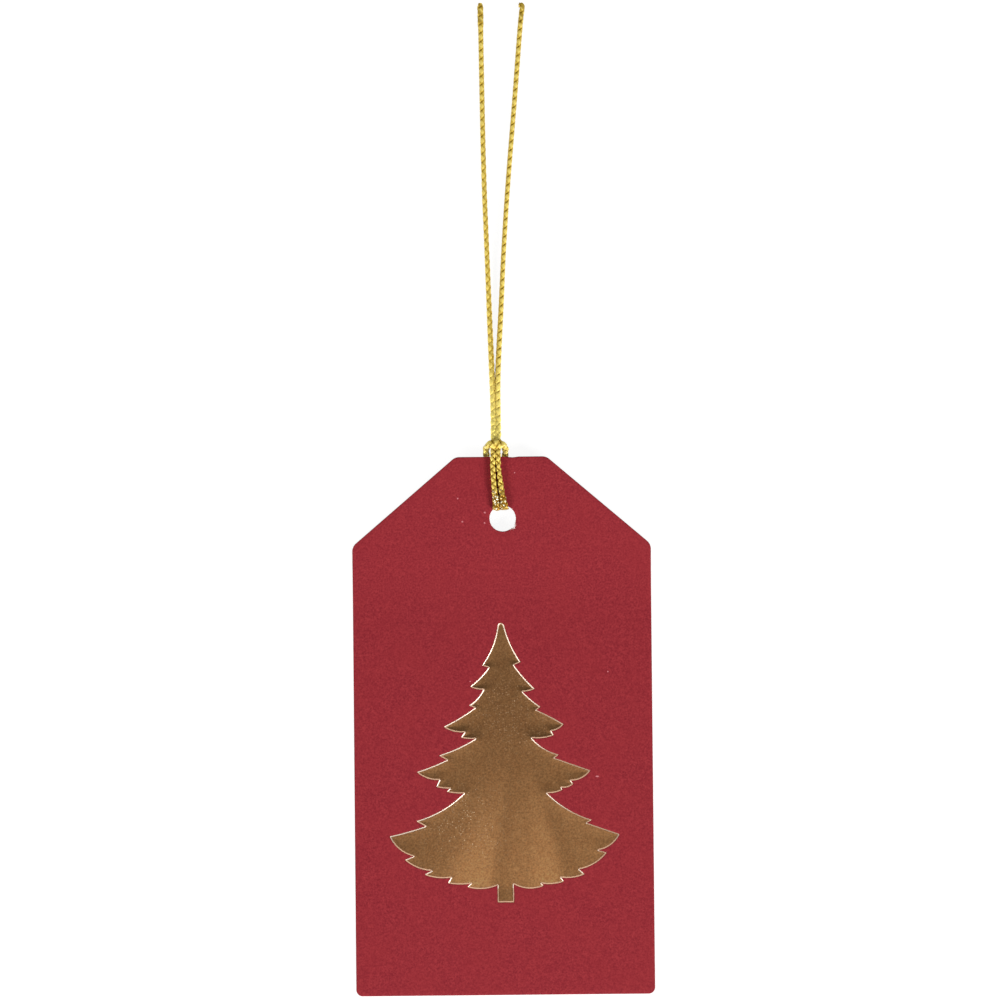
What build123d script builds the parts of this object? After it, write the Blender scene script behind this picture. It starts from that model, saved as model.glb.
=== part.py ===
from build123d import *

import os
from math import cos, pi, radians, sin, sqrt, tan

# Gift tag: a die-cut card with a foil fir tree stamped into its printed face, and a thin metallic
# cord that is doubled, hitched through the punched hole and left with two loose ends.
# Millimetres. The tag lies on its back: +X is its right, +Y runs towards the hole and the cord's
# ends, and +Z comes out of the printed face. The origin is under the card's middle, on the table.

# Card
card_width = 50.0
card_height = 90.0
card_thickness = 0.5
top_edge_width = 15.2  # between the sharp corners
shoulder_drop = 14.8  # from the top edge down to the sharp shoulders
shoulder_radius = 1.8
foot_radius = 1.1

# Punched hole
hole_diameter = 4.36
hole_drop = 10.3  # from the top edge down to the hole's centre
hole_offset = 0.23  # the punch landed a little to the right of the middle

# Foil stamp
foil_thickness = 0.05
stamp_depth = 0.1
stamp_rim = 0.12  # how far the die's rounded edge reaches past the tree's drawn outline
tree_side_margin = 5.78
tree_foot_margin = 15.38
tree_top_margin = 27.78

# Cord
cord_diameter = 0.8
cord_gap = 0.03  # cord to card, and cord to table
strand_gap = 0.07  # between two strands that lie side by side or cross
joint_gap = 0.03  # where one stretch of the cord turns against the next

# Hitch
band_reach = 2.5  # from the top edge to the loop that lies over both strands
ear_reach = 0.9  # from the top edge to the widest place of that loop
edge_past = 0.25  # how far past the top edge the strands bend down
edge_lift = 0.07  # and how far they stand off the card's face there
strand_dip = 11.0  # degrees by which the strands slope down past the top edge
turn_gap = 0.06  # cord to the hole's edge, where it turns through the hole
turn_lead = 1.1  # from the middle of that turn to the places where it begins and ends

# Curl: the card lies flat as far as the tree and then bends up, so that the cord fits under its top.
curl_margin = 0.78  # from the stamp's top to the start of the curl
curl_share = 0.5  # of the way from there to the hole; the rest of the card is straight again

# Sizes that follow
top_edge = card_height / 2
hole_radius = hole_diameter / 2
hole_height = top_edge - hole_drop
cord_radius = cord_diameter / 2
strand_pitch = cord_diameter + strand_gap
table_level = cord_radius + cord_gap
tree_top = top_edge - tree_top_margin
curl_start = tree_top + curl_margin
curl_way = hole_height - curl_start
curl_lift = cord_diameter + 2 * cord_gap
curl_angle = curl_lift / (curl_way * (1 - curl_share / 2))
curl_run = curl_way * curl_share
curl_radius = curl_run / sin(curl_angle)

# The tree's outline, drawn in millimetres from the middle of its foot. Each row is a corner and how
# far the stretch that leads to it bows: inwards if positive, outwards if negative.
tree_outline = (
    # apex and left side, from the top down
    (-0.25, 46.6, -0.06),
    (-0.66, 46.3, -0.06),
    (-3.3, 39.65, 0.45),
    (-2.2, 39.3, 0),
    (-5.35, 36.1, 0.2),
    (-3.1, 35.7, -0.15),
    (-5.5, 32.95, 0.28),
    (-4.5, 32.55, 0),
    (-9.8, 29.4, 0.15),
    (-6.25, 28.6, -0.32),
    (-6.95, 27.65, 0),
    (-4.2, 27.55, -0.15),
    (-10.6, 24.6, 0.25),
    (-9.25, 23.85, 0),
    (-14.35, 21.85, 0.1),
    (-10.6, 20.65, -0.4),
    (-11.15, 19.45, 0),
    (-8.75, 19.2, -0.1),
    (-9.4, 18.6, 0),
    (-6.4, 18.4, -0.12),
    (-14.5, 13.65, 0.62),
    (-12.9, 12.8, 0),
    (-19.05, 11.1, 0.1),
    (-14.85, 7.85, -0.65),
    (-16.5, 7.2, 0),
    (-11.75, 5.45, -0.45),
    (-13.2, 4.75, 0),
    (-8.75, 4.35, -0.3),
    (-9.35, 3.35, 0),
    (-5.3, 3.35, -0.2),
    (-6.1, 2.65, 0),
    # trunk
    (-1.1, 3.0, -0.45),
    (-1.1, 0.1, 0),
    (1.45, 0.1, 0),
    (1.4, 3.2, 0),
    # right side, from the bottom up
    (6.35, 2.75, -0.6),
    (5.75, 3.3, 0),
    (9.75, 3.45, -0.3),
    (9.2, 4.2, 0),
    (13.2, 4.6, -0.3),
    (12.25, 5.45, 0),
    (16.95, 8.1, -0.5),
    (15.1, 8.6, 0),
    (19.15, 11.15, -0.65),
    (13.6, 13.1, 0),
    (14.45, 13.6, 0),
    (6.95, 18.3, 0.55),
    (9.65, 18.75, -0.2),
    (9.5, 19.2, 0),
    (11.5, 19.7, -0.25),
    (11.0, 20.35, 0),
    (14.35, 21.85, -0.48),
    (8.3, 24.0, 0),
    (9.05, 24.55, 0),
    (4.5, 27.55, 0.45),
    (8.3, 27.9, -0.25),
    (7.85, 28.65, 0),
    (9.95, 29.65, -0.25),
    (5.4, 32.05, -0.08),
    (6.1, 32.6, 0),
    (3.05, 35.25, 0.12),
    (5.15, 35.65, -0.1),
    (1.7, 39.7, 0.15),
    (2.85, 40.15, 0),
    (0.16, 46.3, 0.3),
)

# The cord's route seen from above, as (x from the card's middle, distance below the top edge).
# A front leg runs down the face, its turn goes through the hole, and its back leg comes up again.
neck_line = -0.825
neck_x = {"left": neck_line - strand_pitch / 2, "right": neck_line + strand_pitch / 2}
front_leg = {
    "left": ((-1.27, 1.8), (-1.14, 4.2), (-0.98, 6.3)),
    "right": ((-0.32, 1.8), (0.0, 4.2), (0.3, 6.3)),
}
turn_x = {"left": -0.9, "right": 0.5}
back_leg = {
    "left": ((-1.06, 6.3), (-1.52, 4.2), (-2.12, 1.7)),
    "right": ((0.52, 6.3), (0.5, 4.2), (0.6, 1.7)),
}
ear_x = {"left": -2.62, "right": 1.08}
band_x = {"left": -2.45, "right": 0.91}

# Past the hitch, as (x, distance beyond the top edge, height above the table).
neck_middle = 4.7
neck_end = (7.6, 1.08)
tail = {
    "left": (
        (-1.37, 11.2, 0.58),
        (-1.5, 16.5, table_level),
        (-1.77, 25.0, table_level),
        (-2.04, 34.5, table_level),
        (-2.45, 46.0, table_level),
        (-2.65, 61.0, table_level),
        (-2.78, 76.1, table_level),
    ),
    "right": (
        (-0.42, 11.2, 0.58),
        (-0.25, 16.5, table_level),
        (0.24, 25.0, table_level),
        (0.72, 34.5, table_level),
        (1.58, 46.0, table_level),
        (2.92, 61.0, table_level),
        (4.2, 76.2, table_level),
    ),
}


def underside(y):
    """Height of the card's underside above the table."""
    run = y - curl_start
    if run <= 0:
        return 0.0
    if run <= curl_run:
        return curl_radius - sqrt(curl_radius**2 - run**2)
    curl_rise = curl_radius * (1 - cos(curl_angle))
    return curl_rise + (run - curl_run) * tan(curl_angle)


def over_card(y):
    """Height of a cord that lies on the card's face, past the curl."""
    return underside(y) + card_thickness / cos(curl_angle) + cord_gap + cord_radius


def under_card(y):
    """Height of a cord that lies under the card."""
    return underside(y) - cord_gap - cord_radius


def inside_hole(x):
    """How far up a cord can lie in the hole, at a given place across it."""
    room = hole_radius - cord_radius - turn_gap
    return hole_height + sqrt(room**2 - (x - hole_offset) ** 2)


def tree_face():
    """The tree's outline, fitted into its margins on the card."""
    drawn_width = max(x for x, y, bow in tree_outline) - min(x for x, y, bow in tree_outline)
    drawn_height = max(y for x, y, bow in tree_outline)
    wide = (card_width - 2 * (tree_side_margin + stamp_rim)) / drawn_width
    tall = (card_height - tree_foot_margin - tree_top_margin - 2 * stamp_rim) / drawn_height
    foot = tree_foot_margin + stamp_rim - card_height / 2
    corners = [Vector(x * wide, foot + y * tall) for x, y, bow in tree_outline]
    edges = []
    for start, end, (x, y, bow) in zip(corners[-1:] + corners, corners, tree_outline):
        edges.append(SagittaArc(start, end, bow * tall) if bow else Line(start, end))
    return offset(make_face(edges), stamp_rim, kind=Kind.ARC)


def tag_card(tree):
    """The die-cut card: curled sheet, trimmed outline, punched hole and stamped recess."""
    half_width = card_width / 2
    half_top = top_edge_width / 2
    shoulder = top_edge - shoulder_drop
    outline = make_face(
        Polyline(
            (-half_width, -top_edge),
            (half_width, -top_edge),
            (half_width, shoulder),
            (half_top, top_edge),
            (-half_top, top_edge),
            (-half_width, shoulder),
            close=True,
        )
    )
    feet = outline.vertices().group_by(Axis.Y)[0]
    outline = fillet(feet, foot_radius)
    shoulders = outline.vertices().filter_by(lambda corner: corner.Y > 0)
    outline = fillet(shoulders, shoulder_radius)
    outline -= Pos(hole_offset, hole_height) * Circle(hole_radius)

    # The sheet's long section, a little longer than the card so that the trimmed outline sets its ends.
    spare = 2 * card_thickness
    curl_centre = Vector(curl_start, curl_radius)
    along = Vector(cos(curl_angle), sin(curl_angle))
    across = Vector(-sin(curl_angle), cos(curl_angle))
    curl_end = curl_centre - across * curl_radius
    straight = (top_edge + spare - curl_end.X) / cos(curl_angle)
    lower_end = curl_end + along * straight
    half_across = Vector(-sin(curl_angle / 2), cos(curl_angle / 2))
    inner_radius = curl_radius - card_thickness
    upper_start = Vector(-top_edge - spare, card_thickness)
    section = make_face(
        [
            Line((-top_edge - spare, 0), (curl_start, 0)),
            ThreePointArc((curl_start, 0), curl_centre - half_across * curl_radius, curl_end),
            Line(curl_end, lower_end),
            Line(lower_end, lower_end + across * card_thickness),
            Line(lower_end + across * card_thickness, curl_end + across * card_thickness),
            ThreePointArc(
                curl_end + across * card_thickness,
                curl_centre - half_across * inner_radius,
                (curl_start, card_thickness),
            ),
            Line((curl_start, card_thickness), upper_start),
            Line(upper_start, (-top_edge - spare, 0)),
        ]
    )
    sheet = extrude(Plane.YZ * section, amount=card_width, both=True)
    blank = extrude(outline, amount=underside(top_edge + spare) + 2 * card_thickness)
    recess = extrude(Pos(0, 0, card_thickness - stamp_depth) * tree, amount=2 * stamp_depth)
    return (blank & sheet) - recess


def foil_tree(tree):
    """The foil, pressed down onto the floor of its recess."""
    return extrude(Pos(0, 0, card_thickness - stamp_depth) * tree, amount=foil_thickness)


def cord_tube(name, points):
    """A stretch of cord along its route, with every bend as wide as the runs beside it allow."""
    bend_share = 0.45
    points = [Vector(*point) for point in points]
    radii = []
    for before, corner, after in zip(points, points[1:], points[2:]):
        arriving = corner - before
        leaving = after - corner
        half_turn = radians(arriving.get_angle(leaving) / 2)
        radii.append(bend_share * min(arriving.length, leaving.length) / tan(half_turn))
    path = FilletPolyline(*points, radius=radii)
    tube = sweep(Plane(path @ 0, z_dir=path % 0) * Circle(cord_radius), path)
    section = pi * cord_radius**2
    print(name, "length", round(path.length, 2), "volume share", round(tube.volume / section / path.length, 4))
    print(name, "bend radii", [round(radius, 2) for radius in radii])
    return tube


# Where the strands cross the top edge, and where they pass under the loop that holds them.
edge_y = top_edge + edge_past
edge_z = over_card(top_edge) + edge_lift
dip = radians(strand_dip)
band_y = top_edge + band_reach
strand_run = (band_y - edge_y - strand_pitch * sin(dip)) / cos(dip)
crossing_y = edge_y + strand_run * cos(dip)
crossing_z = edge_z - strand_run * sin(dip)
band_z = crossing_z + strand_pitch * cos(dip)


def hitch_side(side):
    """Half of the hitch: from under the loop, down the face, through the hole and up the back."""
    turn_y = inside_hole(turn_x[side])
    lead_y = turn_y + turn_lead
    front = [(x, top_edge - drop) for x, drop in front_leg[side]] + [(turn_x[side], lead_y)]
    back = [(turn_x[side], lead_y)] + [(x, top_edge - drop) for x, drop in back_leg[side]]
    return [
        (neck_x[side], crossing_y, crossing_z),
        (neck_x[side], edge_y, edge_z),
        *[(x, y, over_card(y)) for x, y in front],
        (turn_x[side], turn_y, over_card(turn_y)),
        (turn_x[side], turn_y, under_card(turn_y)),
        *[(x, y, under_card(y)) for x, y in back],
        (ear_x[side], top_edge + ear_reach, under_card(top_edge)),
        (band_x[side], band_y, band_z),
    ]


def neck_route(side):
    """The strand's doubled stretch, sloping down from the loop."""
    middle_y = top_edge + neck_middle
    middle_z = crossing_z - (middle_y - crossing_y) * tan(dip)
    start_y = crossing_y + joint_gap * cos(dip)
    start_z = crossing_z - joint_gap * sin(dip)
    end_beyond, end_z = neck_end
    return [
        (neck_x[side], start_y, start_z),
        (neck_x[side], middle_y, middle_z),
        (neck_x[side], top_edge + end_beyond, end_z),
    ]


def tail_route(side):
    """The loose end, from just past the neck's round end to its cut tip."""
    knuckle = Vector(*neck_route(side)[-1])
    points = [Vector(x, top_edge + beyond, z) for x, beyond, z in tail[side]]
    start = knuckle + (points[0] - knuckle).normalized() * (cord_radius + joint_gap)
    return [start, *points]


def cord_hitch():
    """The hitch, in one unbroken stretch from strand to strand."""
    return cord_tube("hitch", hitch_side("left") + hitch_side("right")[::-1])


def cord_neck():
    """Both strands of the neck, each with a round end that its loose end turns about."""
    strands = []
    for side in ("left", "right"):
        route = neck_route(side)
        knuckle = Pos(*route[-1]) * Sphere(cord_radius)
        strands.append(cord_tube("neck " + side, route) + knuckle)
    return Compound(children=[strand.solid() for strand in strands])


os.makedirs("parts", exist_ok=True)
tree = tree_face()
nodes = {
    "tag_card": tag_card(tree),
    "foil_tree": foil_tree(tree),
    "cord_hitch": cord_hitch(),
    "cord_neck": cord_neck(),
    "cord_left_tail": cord_tube("left tail", tail_route("left")),
    "cord_right_tail": cord_tube("right tail", tail_route("right")),
}
for node, solid in nodes.items():
    export_step(solid, f"parts/{node}.step")

print("lift axis", round(band_y, 3), round(band_z, 3))
for side in ("left", "right"):
    print(side, "splay axis", [round(value, 3) for value in neck_route(side)[-1]])
    print(side, "hitch route", [[round(value, 3) for value in point] for point in hitch_side(side)])
    print(side, "neck route", [[round(value, 3) for value in point] for point in neck_route(side)])
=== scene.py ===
from math import atan2, ceil, cos, pi, radians, sin, tan

import bmesh
import bpy
import numpy as np
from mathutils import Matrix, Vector
from mathutils.geometry import delaunay_2d_cdt


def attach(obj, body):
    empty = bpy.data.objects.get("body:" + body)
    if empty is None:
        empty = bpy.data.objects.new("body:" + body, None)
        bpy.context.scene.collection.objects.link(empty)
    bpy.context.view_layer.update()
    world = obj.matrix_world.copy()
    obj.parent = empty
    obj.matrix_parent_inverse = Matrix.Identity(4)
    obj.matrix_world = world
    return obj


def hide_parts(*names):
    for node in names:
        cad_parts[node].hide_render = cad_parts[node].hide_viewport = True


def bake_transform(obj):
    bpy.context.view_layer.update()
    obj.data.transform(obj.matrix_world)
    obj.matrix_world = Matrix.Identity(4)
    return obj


# Gift tag: a die-cut card, a foil fir tree stamped into its face, and a thin gold cord hitched
# through its hole. Lengths are in millimetres until a mesh is made from them.
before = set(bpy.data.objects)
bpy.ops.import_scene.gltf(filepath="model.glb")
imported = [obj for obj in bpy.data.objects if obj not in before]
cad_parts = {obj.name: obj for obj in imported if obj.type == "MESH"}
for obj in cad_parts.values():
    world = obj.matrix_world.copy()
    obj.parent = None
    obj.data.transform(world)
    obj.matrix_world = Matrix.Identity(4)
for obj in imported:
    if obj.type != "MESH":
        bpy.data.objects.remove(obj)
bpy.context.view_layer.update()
mm = 0.001


# Card: one die-cut piece of white-cored board, printed flat red on its face and bare on its back.
# It lies flat as far as the tree and then curls up a little, over the cord that runs under its top
# end. The punch left a ragged edge on the right of the hole, and the cord dented the top edge.
card_thickness = 0.5
curl_start = 18.0
curl_run = 8.35
curl_angle = 0.06866
curl_radius = curl_run / sin(curl_angle)
top_edge = 45.0
hole_centre = np.array([0.23, 34.7])
recess_floor = 0.35
shoulder_width = 0.5  # the face dips this far round the stamp
shoulder_dip = 0.012
face_roll = ((0.14, 0.0), (0.07, 0.012), (0.02, 0.045), (0.0, 0.11))  # (in from the cut, down)
back_roll = ((0.0, 0.42), (0.03, 0.48), (0.09, 0.5))
dent_middle = 1.95
dent_half_width = 0.85
dent_depth = 0.12
chip_bearing = -37  # degrees round the hole
chip_spread = 10
chip_depth = 0.36
fray_bearing = -15
fray_depth = 0.035
edge_step = 0.5  # between the points of the cut lines
hole_step = 0.1
stamp_step = 0.14
face_grid = 1.1  # between the points inside them
back_grid = 1.6
recess_grid = 2.0
card_corners = ((-25, -45), (25, 45))
tree_corners = ((-20, -30), (20, 18))
pale_marks = (  # in the print: (x, y, half its length, how many times as long as wide)
    (15.66, -8.61, 0.36, 2.2), (-7.26, 38.1, 0.17, 1.0), (-2.74, 35.7, 0.19, 1.0),
    (-2.79, 33.96, 0.18, 1.0), (-6.5, 34.2, 0.16, 1.0), (2.3, 42.3, 0.13, 1.0),
    (17.6, 8.9, 0.14, 1.0), (-5.46, 7.46, 0.14, 1.0),
)
printed, cut, bare = range(3)  # the card's finishes


def cut_lines(node):
    """The closed lines round the underside of a solid that was cut straight through a sheet."""
    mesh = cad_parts[node].data
    spots = [tuple(round(c / mm, 4) for c in v.co) for v in mesh.vertices]
    sides = set()
    for face in mesh.polygons:
        if face.normal.z < -0.9:
            corners = [spots[i] for i in face.vertices]
            sides.update(zip(corners, corners[1:] + corners[:1]))
    onward = {a: b for a, b in sides if (b, a) not in sides}
    lines = []
    while onward:
        spot, following = onward.popitem()
        line = [spot]
        while following != spot:
            line.append(following)
            following = onward.pop(following)
        lines.append(np.array(line)[:, :2])
    return sorted(lines, key=length_round, reverse=True)


def length_round(line):
    """Length of a closed line."""
    return np.linalg.norm(np.roll(line, -1, axis=0) - line, axis=1).sum()


def running(line, anticlockwise):
    """The closed line, turned to run the given way round."""
    ahead = np.roll(line, -1, axis=0)
    area = (line[:, 0] * ahead[:, 1] - line[:, 1] * ahead[:, 0]).sum()
    return line if (area > 0) == anticlockwise else line[::-1]


def spaced(line, step):
    """The closed line with more points, so that no two neighbours are further apart than step."""
    points = []
    for spot, following in zip(line, np.roll(line, -1, axis=0)):
        count = max(1, ceil(np.linalg.norm(following - spot) / step))
        points += [spot + (following - spot) * i / count for i in range(count)]
    return np.array(points)


def beside(line, by):
    """The closed line moved to its left."""
    ahead = np.roll(line, -1, axis=0) - line
    ahead /= np.linalg.norm(ahead, axis=1)[:, None]
    left = np.column_stack([-ahead[:, 1], ahead[:, 0]])
    left = left + np.roll(left, 1, axis=0)
    return line + by * left / np.linalg.norm(left, axis=1)[:, None]


def away_from(line, points):
    """The way to each point from the nearest spot on a closed line."""
    away = np.full(points.shape, np.inf)
    least = np.full(len(points), np.inf)
    for spot, following in zip(line, np.roll(line, -1, axis=0)):
        run = following - spot
        share = np.clip((points - spot) @ run / (run @ run), 0, 1)
        way = points - spot - share[:, None] * run
        distance = np.linalg.norm(way, axis=1)
        nearer = distance < least
        away[nearer] = way[nearer]
        least[nearer] = distance[nearer]
    return away


def distance_to(line, points):
    """Distance of each point from a closed line."""
    return np.linalg.norm(away_from(line, points), axis=1)


def within(line, points):
    """Which points lie inside a closed line."""
    found = np.zeros(len(points), bool)
    x, y = points[:, 0], points[:, 1]
    for (ax, ay), (bx, by) in zip(line, np.roll(line, -1, axis=0)):
        if ay != by:
            found ^= ((y < ay) != (y < by)) & (x < ax + (y - ay) * (bx - ax) / (by - ay))
    return found


def ring_points(line, by, step):
    """Loose points on the left of a closed line, all at the same distance from it."""
    ahead = np.roll(line, -1, axis=0) - line
    heading = np.arctan2(ahead[:, 1], ahead[:, 0])
    before = np.roll(heading, 1)
    bends = (heading - before + pi) % (2 * pi) - pi
    points = []
    for spot, start, bend in zip(line, before, bends):
        fan = ceil(-bend * by / step) if bend < -0.2 else 0
        for share in np.linspace(0, 1, fan + 1) if fan else [0.5]:
            angle = start + bend * share + pi / 2
            points.append(spot + by * np.array([cos(angle), sin(angle)]))
    points = np.array(points)
    points = points[distance_to(line, points) > 0.97 * by]
    cells = np.unique(np.round(points / (0.55 * step)), axis=0, return_index=True)[1]
    return points[np.sort(cells)]


def grid_points(low, high, step):
    """Loose points in even staggered rows."""
    rows = np.arange(low[1], high[1], step * 0.866)
    columns = np.arange(low[0], high[0], step)
    return np.array([(x + step / 2 * (i % 2), y) for i, y in enumerate(rows) for x in columns])


def sheet_faces(lines, loose, keep):
    """Points and triangles of a sheet with these cut lines; keep() says which triangles stay."""
    points = [Vector(p) for p in np.concatenate([*lines, loose])]
    sides, first = [], 0
    for line in lines:
        sides += [(first + i, first + (i + 1) % len(line)) for i in range(len(line))]
        first += len(line)
    found = delaunay_2d_cdt(points, sides, [], 0, 1e-6)
    points = np.array([tuple(p) for p in found[0]])
    faces = np.array(found[2])
    return points, faces[keep(points[faces].mean(axis=1))]


def underside(y):
    """Height of the card's back: flat, then an arc, then straight."""
    run = np.clip(y - curl_start, 0, curl_run)
    arc = curl_radius - np.sqrt(curl_radius**2 - run**2)
    return arc + np.clip(y - curl_start - curl_run, 0, None) * tan(curl_angle)


def face_height(y):
    """Height of the card's face."""
    slope = np.arcsin(np.clip((y - curl_start) / curl_radius, 0, sin(curl_angle)))
    return underside(y) + card_thickness / np.cos(slope)


class Shell:
    """Points and faces of one piece as they are put together, each face with its finish."""

    def __init__(self):
        self.points, self.faces, self.finishes = [], [], []
        self.count = 0

    def add(self, points, faces, finish=0):
        """Points, and faces that count from the first of them."""
        self.points.append(np.asarray(points, float))
        self.faces += [tuple(int(i) + self.count for i in face) for face in faces]
        self.finishes += [finish] * len(faces)
        self.count += len(points)

    def add_wall(self, upper, lower, finish=0):
        """The band between two closed lines with the same number of points."""
        n = len(upper)
        faces = [(n + i, n + (i + 1) % n, (i + 1) % n, i) for i in range(n)]
        self.add(np.concatenate([upper, lower]), faces, finish)

    def add_rod(self, rings, finish=0):
        """A closed rod through rings of points, an array of rings by points by 3."""
        count, n = rings.shape[:2]
        faces = [
            (r * n + j, r * n + (j + 1) % n, (r + 1) * n + (j + 1) % n, (r + 1) * n + j)
            for r in range(count - 1)
            for j in range(n)
        ]
        ends = [tuple(range(n))[::-1], tuple(range((count - 1) * n, count * n))]
        self.add(rings.reshape(-1, 3), faces + ends, finish)

    def piece(self, name, finishes):
        """The object made of all that was added."""
        mesh = bpy.data.meshes.new(name)
        mesh.from_pydata((np.concatenate(self.points) * mm).tolist(), [], self.faces)
        for finish in finishes:
            mesh.materials.append(finish)
        mesh.polygons.foreach_set("material_index", self.finishes)
        mesh.polygons.foreach_set("use_smooth", [True] * len(mesh.polygons))
        made = bpy.data.objects.new(name, mesh)
        bpy.context.scene.collection.objects.link(made)
        return made


def joined_up(piece):
    """Joins the points where two sheets of a piece meet."""
    mesh = bmesh.new()
    mesh.from_mesh(piece.data)
    bmesh.ops.remove_doubles(mesh, verts=mesh.verts, dist=1e-4 * mm)
    mesh.to_mesh(piece.data)
    mesh.free()


def ink(red, green, blue):
    """A colour as it is seen, 0 to 255, for a node."""
    seen = np.array([red, green, blue]) / 255
    return (*np.where(seen > 0.04045, ((seen + 0.055) / 1.055) ** 2.4, seen / 12.92), 1.0)


def new_finish(name):
    """A material, its nodes and its shader."""
    finish = bpy.data.materials.new(name)
    finish.use_nodes = True
    return finish, finish.node_tree, finish.node_tree.nodes["Principled BSDF"]


def node(tree, kind, sockets=(), **settings):
    """A node, its settings, and its sockets set to a value or linked to another node's output."""
    made = tree.nodes.new(kind)
    for name, value in settings.items():
        setattr(made, name, value)
    for socket, value in dict(sockets).items():
        if isinstance(value, bpy.types.NodeSocket):
            tree.links.new(value, made.inputs[socket])
        else:
            made.inputs[socket].default_value = value
    return made


def noise(tree, where, per_mm, detail=2.0, roughness=0.5):
    """A noise whose blotches are about 1 / per_mm across."""
    sockets = {"Vector": where, "Scale": per_mm / mm, "Detail": detail, "Roughness": roughness}
    return node(tree, "ShaderNodeTexNoise", sockets).outputs["Fac"]


def ramp(tree, value, low, high, start=0.0, end=1.0):
    """A value brought from low..high to start..end, held at both ends."""
    sockets = {"Value": value, "From Min": low, "From Max": high, "To Min": start, "To Max": end}
    return node(tree, "ShaderNodeMapRange", sockets).outputs["Result"]


def mixed(tree, share, first, second, blend_type="MIX"):
    """Two colours mixed."""
    sockets = {0: share, 6: first, 7: second}
    return node(tree, "ShaderNodeMix", sockets, data_type="RGBA", blend_type=blend_type).outputs[2]


def printed_face():
    """Flat red print on board: matt, blotched and grainy, with a few pale flecks and one scuff."""
    finish, tree, shader = new_finish("printed_red")
    where = node(tree, "ShaderNodeTexCoord").outputs["Object"]
    clouds = noise(tree, where, 0.15, 3.0)
    blotches = noise(tree, where, 0.9, 3.0, 0.6)
    grain = noise(tree, where, 3.2, 3.0, 0.7)
    tone = mixed(tree, ramp(tree, grain, 0.34, 0.66), ink(125, 27, 38), ink(162, 50, 56))
    tone = mixed(tree, ramp(tree, blotches, 0.35, 0.65, 0.0, 0.35), tone, ink(135, 30, 42))
    tone = mixed(tree, ramp(tree, clouds, 0.4, 0.7, 0.0, 0.3), tone, ink(151, 42, 47))
    for x, y, reach, stretch in pale_marks:
        mark = node(tree, "ShaderNodeMapping", {
            "Vector": where, "Location": (-x * mm, -y * stretch * mm, 0.0),
            "Scale": (1.0, stretch, 0.0),
        })
        mark = node(tree, "ShaderNodeVectorMath", {0: mark.outputs["Vector"]}, operation="LENGTH")
        mark = ramp(tree, mark.outputs["Value"], reach * mm, 0.5 * reach * mm)
        tone = mixed(tree, mark, tone, ink(205, 124, 130))
    tree.links.new(tone, shader.inputs["Base Color"])
    bump = node(tree, "ShaderNodeBump", {"Height": grain, "Strength": 0.3, "Distance": 0.006 * mm})
    tree.links.new(bump.outputs["Normal"], shader.inputs["Normal"])
    shader.inputs["Roughness"].default_value = 0.72
    shader.inputs["Specular IOR Level"].default_value = 0.14
    return finish


def board_core():
    """The board's white inside, where it was cut: layered fibres, tinged by the print."""
    finish, tree, shader = new_finish("board_core")
    where = node(tree, "ShaderNodeTexCoord").outputs["Object"]
    flat = node(tree, "ShaderNodeMapping", {"Vector": where, "Scale": (1.0, 1.0, 9.0)})
    fibres = noise(tree, flat.outputs["Vector"], 4.0, 4.0, 0.65)
    tone = mixed(tree, ramp(tree, fibres, 0.3, 0.7), ink(214, 178, 174), ink(243, 228, 222))
    tree.links.new(tone, shader.inputs["Base Color"])
    rough = node(tree, "ShaderNodeBump", {"Height": fibres, "Strength": 0.6, "Distance": 0.02 * mm})
    tree.links.new(rough.outputs["Normal"], shader.inputs["Normal"])
    shader.inputs["Roughness"].default_value = 0.9
    return finish


def bare_back():
    """The board's unprinted back: off-white, matt, with a fine felt grain."""
    finish, tree, shader = new_finish("bare_back")
    where = node(tree, "ShaderNodeTexCoord").outputs["Object"]
    felt = noise(tree, where, 2.2, 5.0, 0.6)
    tone = mixed(tree, ramp(tree, felt, 0.3, 0.7), ink(226, 220, 209), ink(241, 237, 229))
    tree.links.new(tone, shader.inputs["Base Color"])
    grain = node(tree, "ShaderNodeBump", {"Height": felt, "Strength": 0.5, "Distance": 0.01 * mm})
    tree.links.new(grain.outputs["Normal"], shader.inputs["Normal"])
    shader.inputs["Roughness"].default_value = 0.8
    return finish


edge_line, hole_line = cut_lines("tag_card")
edge_line = running(spaced(edge_line, edge_step), True)
hole_line = running(spaced(hole_line, hole_step), False)
stamp_line = spaced(running(cut_lines("foil_tree")[0], True), stamp_step)

dent = np.clip(1 - np.abs(edge_line[:, 0] - dent_middle) / dent_half_width, 0, 1)
edge_line[:, 1] -= np.where(edge_line[:, 1] > top_edge - 0.01, dent_depth * dent**0.6, 0)
spokes = hole_line - hole_centre
around_hole = np.degrees(np.arctan2(spokes[:, 1], spokes[:, 0]))
torn = np.exp(-(((around_hole - chip_bearing) / chip_spread) ** 2)) * chip_depth
frayed = np.clip(np.cos(np.radians(around_hole - fray_bearing) * 3), 0, 1)
torn += frayed * fray_depth * np.sin(around_hole * 1.3) ** 2
hole_line = hole_line + spokes / np.linalg.norm(spokes, axis=1)[:, None] * torn[:, None]

card = Shell()
edge_rings, hole_rings = (
    [np.column_stack([ring, face_height(ring[:, 1]) - down])
     for into, down in face_roll + back_roll
     for ring in [beside(line, into)]]
    for line in (edge_line, hole_line)
)
around_stamp = stamp_line[::-1]
top_lines = [edge_rings[0][:, :2], hole_rings[0][:, :2], around_stamp]
loose = grid_points(*card_corners, face_grid)
loose = loose[within(edge_rings[0][:, :2], loose) & ~within(hole_line, loose)]
loose = loose[~within(stamp_line, loose) & (distance_to(stamp_line, loose) > 1.0)]
loose = loose[(distance_to(edge_line, loose) > 0.5) & (distance_to(hole_line, loose) > 0.5)]
for reach in (0.08, 0.18, 0.32, 0.52):
    loose = np.concatenate([loose, ring_points(around_stamp, reach, 0.25)])


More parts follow.
